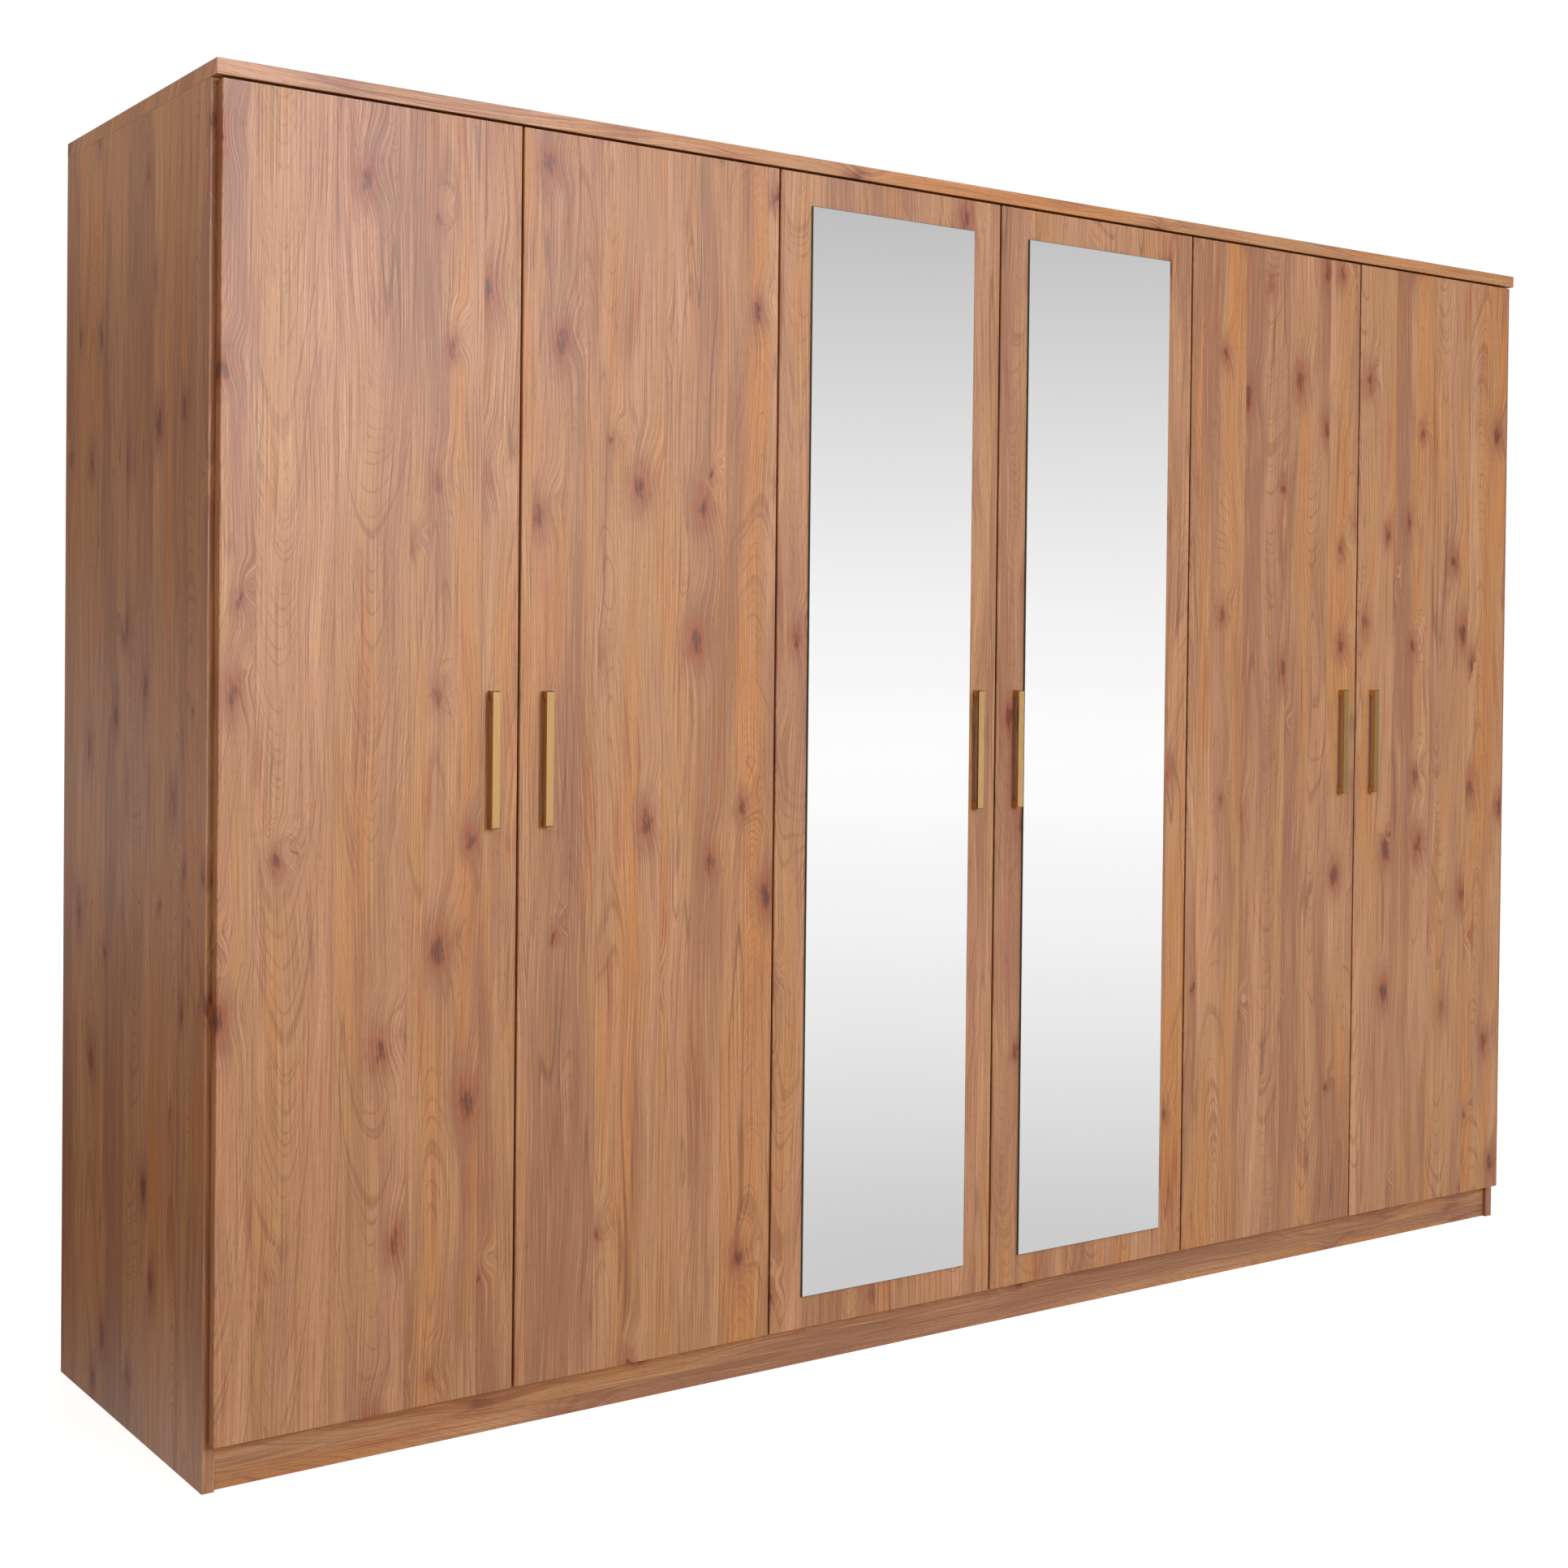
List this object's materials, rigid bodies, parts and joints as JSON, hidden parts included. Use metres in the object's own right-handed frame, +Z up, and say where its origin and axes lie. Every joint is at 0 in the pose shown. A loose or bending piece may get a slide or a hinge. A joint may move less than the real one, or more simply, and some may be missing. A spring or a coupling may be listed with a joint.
{
  "type": "wardrobe",
  "caption": "Tall free-standing wardrobe in wood-effect board: flat hinged doors in facing pairs, mirrors on the middle pair, slim brass bar handles, shelves and rails inside.",
  "frame": {"origin": "on the floor, under the middle of the bounding box", "axes": "+X to the right seen from the front, +Y to the wall behind, +Z up; the doors open towards -Y"},
  "size_m": [2.8, 0.6768, 1.98],
  "materials": {
    "oak_fronts": "satin melamine with knotty oak grain",
    "oak_case": "satin melamine with knotty oak grain",
    "hardboard": "smooth hardboard",
    "mirror_glass": "silvered float glass",
    "polished_brass": "polished",
    "plated_steel": "bright nickel plating"
  },
  "bodies": {
    "case": {"back_board_left": "hardboard", "back_board_middle": "hardboard", "back_board_right": "hardboard", "bottom_board": "oak_case", "hanging_rail_left": "plated_steel", "hanging_rail_right": "plated_steel", "hat_shelf_left": "oak_case", "hat_shelf_right": "oak_case", "hinge_arm_1_1": "plated_steel", "hinge_arm_1_2": "plated_steel", "hinge_arm_1_3": "plated_steel", "hinge_arm_1_4": "plated_steel", "hinge_arm_2_1": "plated_steel", "hinge_arm_2_2": "plated_steel", "hinge_arm_2_3": "plated_steel", "hinge_arm_2_4": "plated_steel", "hinge_arm_3_1": "plated_steel", "hinge_arm_3_2": "plated_steel", "hinge_arm_3_3": "plated_steel", "hinge_arm_3_4": "plated_steel", "hinge_arm_4_1": "plated_steel", "hinge_arm_4_2": "plated_steel", "hinge_arm_4_3": "plated_steel", "hinge_arm_4_4": "plated_steel", "hinge_arm_5_1": "plated_steel", "hinge_arm_5_2": "plated_steel", "hinge_arm_5_3": "plated_steel", "hinge_arm_5_4": "plated_steel", "hinge_arm_6_1": "plated_steel", "hinge_arm_6_2": "plated_steel", "hinge_arm_6_3": "plated_steel", "hinge_arm_6_4": "plated_steel", "middle_shelf_1": "oak_case", "middle_shelf_2": "oak_case", "middle_shelf_3": "oak_case", "middle_shelf_4": "oak_case", "partition_left": "oak_case", "partition_right": "oak_case", "plinth_bearer_left": "oak_case", "plinth_bearer_right": "oak_case", "plinth_front": "oak_fronts", "plinth_rear": "oak_case", "side_panel_left": "oak_case", "side_panel_right": "oak_case", "top_board": "oak_fronts"},
    "door_leaf_1": {"door_1": "oak_fronts", "handle_1": "polished_brass"},
    "door_leaf_2": {"door_2": "oak_fronts", "handle_2": "polished_brass"},
    "door_leaf_3": {"door_3": "oak_fronts", "handle_3": "polished_brass", "mirror_3": "mirror_glass"},
    "door_leaf_4": {"door_4": "oak_fronts", "handle_4": "polished_brass", "mirror_4": "mirror_glass"},
    "door_leaf_5": {"door_5": "oak_fronts", "handle_5": "polished_brass"},
    "door_leaf_6": {"door_6": "oak_fronts", "handle_6": "polished_brass"}
  },
  "joints": [
    {"name": "door_1_hinge", "type": "hinge", "parent": "case", "child": "door_leaf_1", "pos_m": [-1.3855, -0.3166, 1.01125], "axis": [0, 0, -1], "range_deg": [0, 95]},
    {"name": "door_2_hinge", "type": "hinge", "parent": "case", "child": "door_leaf_2", "pos_m": [-0.47183, -0.3166, 1.01125], "axis": [0, 0, 1], "range_deg": [0, 85]},
    {"name": "door_3_hinge", "type": "hinge", "parent": "case", "child": "door_leaf_3", "pos_m": [-0.45683, -0.3166, 1.01125], "axis": [0, 0, -1], "range_deg": [0, 85]},
    {"name": "door_4_hinge", "type": "hinge", "parent": "case", "child": "door_leaf_4", "pos_m": [0.45683, -0.3166, 1.01125], "axis": [0, 0, 1], "range_deg": [0, 85]},
    {"name": "door_5_hinge", "type": "hinge", "parent": "case", "child": "door_leaf_5", "pos_m": [0.47183, -0.3166, 1.01125], "axis": [0, 0, -1], "range_deg": [0, 85]},
    {"name": "door_6_hinge", "type": "hinge", "parent": "case", "child": "door_leaf_6", "pos_m": [1.3855, -0.3166, 1.01125], "axis": [0, 0, 1], "range_deg": [0, 95]}
  ]
}
